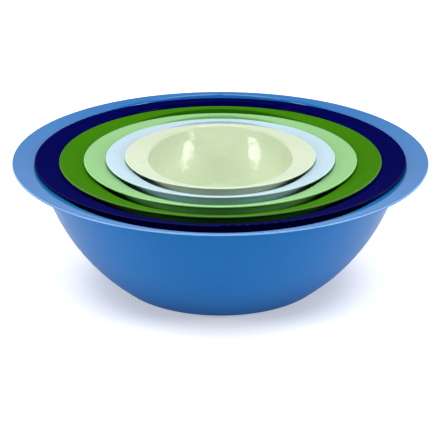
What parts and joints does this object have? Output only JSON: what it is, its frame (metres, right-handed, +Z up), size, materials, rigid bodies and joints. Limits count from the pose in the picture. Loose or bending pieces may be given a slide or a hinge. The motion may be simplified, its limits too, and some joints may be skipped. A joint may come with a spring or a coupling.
{
  "type": "nesting mixing bowl set",
  "caption": "Nest of round glossy moulded mixing bowls in blue, navy, greens, pale blue and cream, each with wide side grips, that lift out one from another.",
  "frame": {"origin": "centre of the largest bowl's foot ring, on the surface it stands on", "axes": "+Z up along the bowls' common axis; +X towards one wide side grip; +Y towards the narrow lip at the back, -Y towards the front"},
  "size_m": [0.292, 0.292, 0.0927],
  "materials": {
    "blue_bowl": "gloss",
    "navy_bowl": "gloss",
    "green_bowl": "gloss",
    "light_green_bowl": "gloss",
    "light_blue_bowl": "gloss",
    "cream_bowl": "gloss"
  },
  "bodies": {
    "blue_bowl": {"blue_bowl": "blue_bowl"},
    "navy_bowl": {"navy_bowl": "navy_bowl"},
    "green_bowl": {"green_bowl": "green_bowl"},
    "light_green_bowl": {"light_green_bowl": "light_green_bowl"},
    "light_blue_bowl": {"light_blue_bowl": "light_blue_bowl"},
    "cream_bowl": {"cream_bowl": "cream_bowl"}
  },
  "joints": [
    {"name": "navy_lift", "type": "slide", "parent": "blue_bowl", "child": "navy_bowl", "axis": [0, 0, 1], "range_m": [0, 0.09]},
    {"name": "green_lift", "type": "slide", "parent": "navy_bowl", "child": "green_bowl", "axis": [0, 0, 1], "range_m": [0, 0.086]},
    {"name": "light_green_lift", "type": "slide", "parent": "green_bowl", "child": "light_green_bowl", "axis": [0, 0, 1], "range_m": [0, 0.08]},
    {"name": "light_blue_lift", "type": "slide", "parent": "light_green_bowl", "child": "light_blue_bowl", "axis": [0, 0, 1], "range_m": [0, 0.076]},
    {"name": "cream_lift", "type": "slide", "parent": "light_blue_bowl", "child": "cream_bowl", "axis": [0, 0, 1], "range_m": [0, 0.072]}
  ]
}
